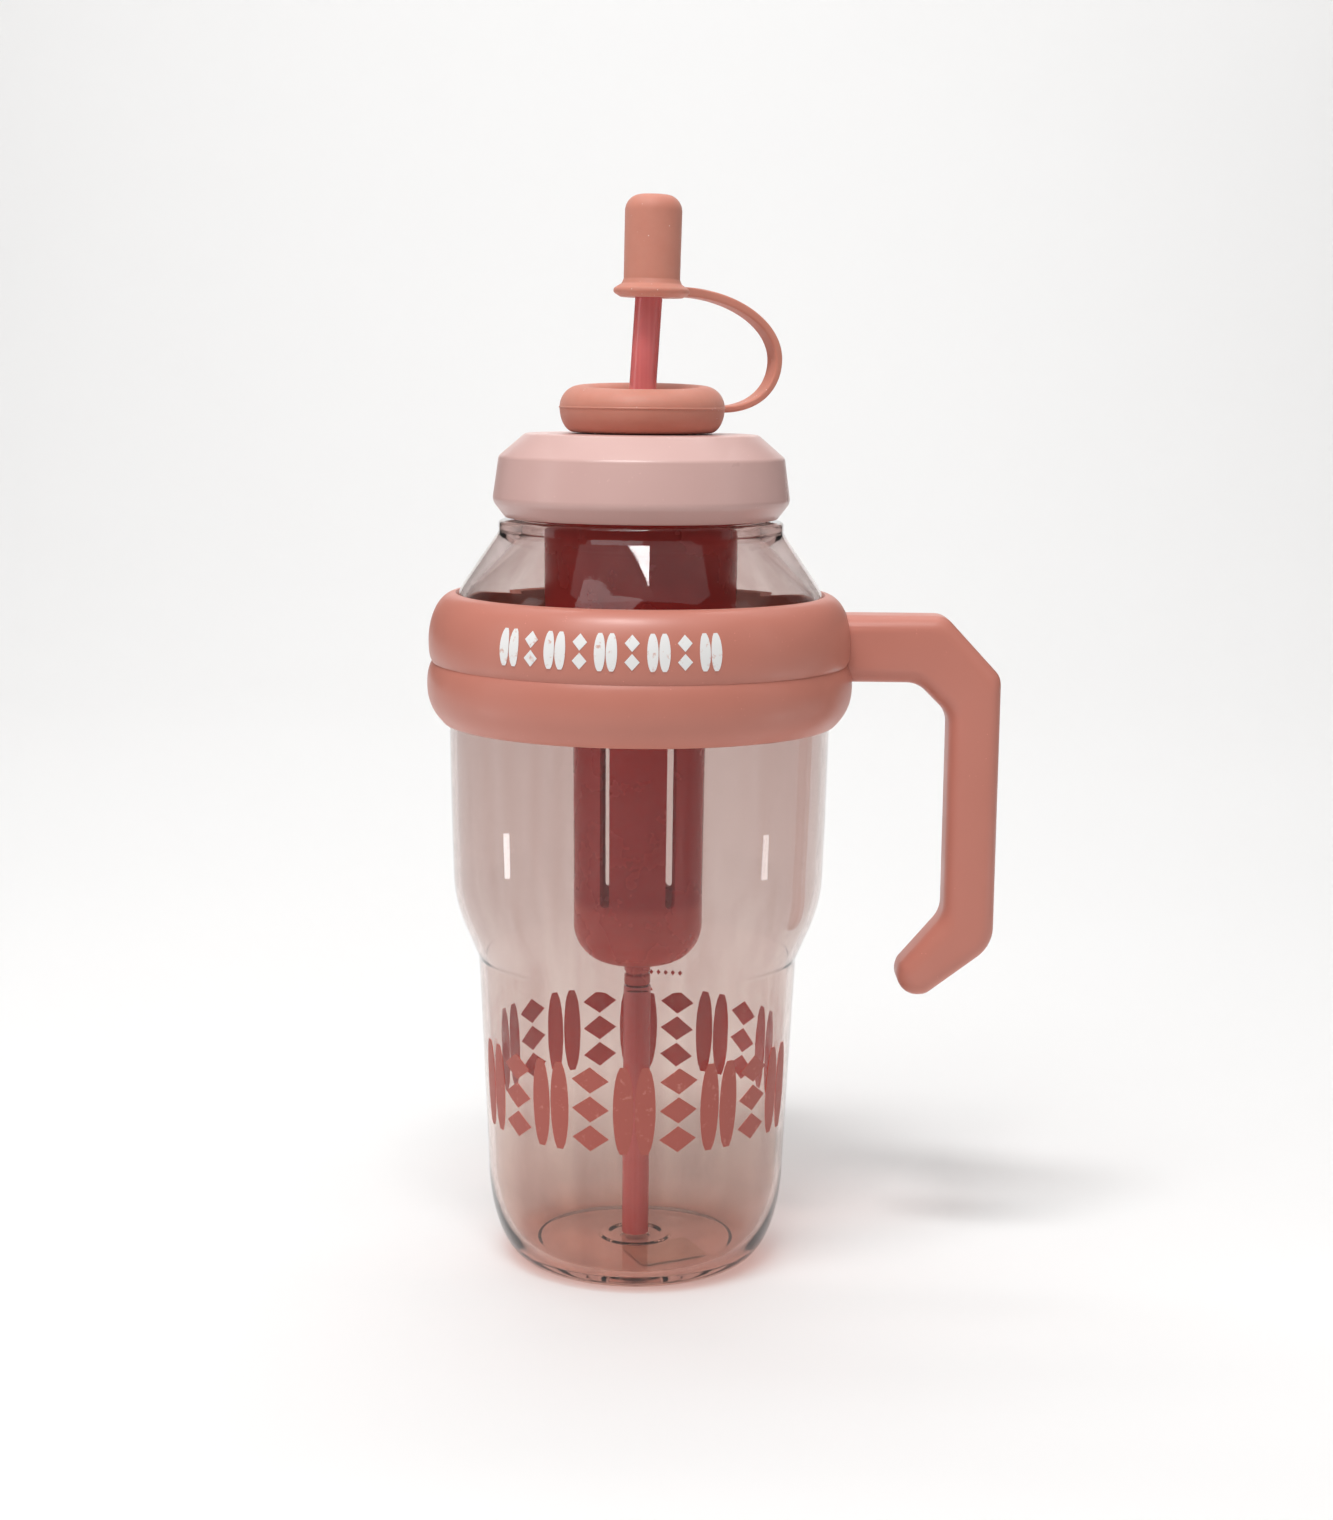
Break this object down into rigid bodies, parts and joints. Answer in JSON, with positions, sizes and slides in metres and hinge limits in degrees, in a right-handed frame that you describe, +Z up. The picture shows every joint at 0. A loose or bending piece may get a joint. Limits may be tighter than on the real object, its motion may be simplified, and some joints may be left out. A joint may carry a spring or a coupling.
{
  "type": "straw tumbler",
  "caption": "Clear drinking tumbler with a screw lid, capped straw on a tether, hanging infuser and a lift-off handle band.",
  "frame": {"origin": "on the bottle's axis, in the plane of the foot ring it stands on", "axes": "+Z up along the bottle's axis, +X towards the handle, -Y towards the viewer of the printed front"},
  "size_m": [0.1494, 0.1108, 0.2791],
  "materials": {
    "clear_body": "clear, slightly smoky pink, polished",
    "band_plastic": "satin salmon",
    "lid_plastic": "satin pearl pink",
    "seal_silicone": "matt, milky",
    "salmon_silicone": "matt salmon silicone",
    "straw_plastic": "glossy pink",
    "infuser_plastic": "translucent dark rose"
  },
  "bodies": {
    "bottle": {"bottle_body": "clear_body"},
    "straw_set": {"drinking_straw": "straw_plastic", "infuser_basket": "infuser_plastic", "dip_straw": "straw_plastic", "tether_ring": "salmon_silicone", "tether_strap": "salmon_silicone"},
    "lid": {"lid_shell": "lid_plastic", "lid_liner": "lid_plastic", "lid_gasket": "seal_silicone", "straw_grommet": "seal_silicone"},
    "cap": {"straw_cap": "salmon_silicone"},
    "band": {"handle_band": "band_plastic"}
  },
  "joints": [
    {"name": "lid_rise", "type": "slide", "parent": "bottle", "child": "straw_set", "axis": [0, 0, 1], "range_m": [0, 0.005]},
    {"name": "lid_turn", "type": "hinge", "parent": "straw_set", "child": "lid", "pos_m": [0, 0, 0.2], "axis": [0, 0, 1], "range_deg": [0, 450]},
    {"name": "cap_pull", "type": "slide", "parent": "straw_set", "child": "cap", "axis": [0.0593, 0, 0.9982], "range_m": [0, 0.024], "deforming": ["tether_strap"]},
    {"name": "band_lift", "type": "slide", "parent": "bottle", "child": "band", "axis": [0, 0, 1], "range_m": [0, 0.145]}
  ],
  "couplings": [
    {"joint": "lid_rise", "follows": "lid_turn", "m_per_rad": 0.0006366}
  ]
}
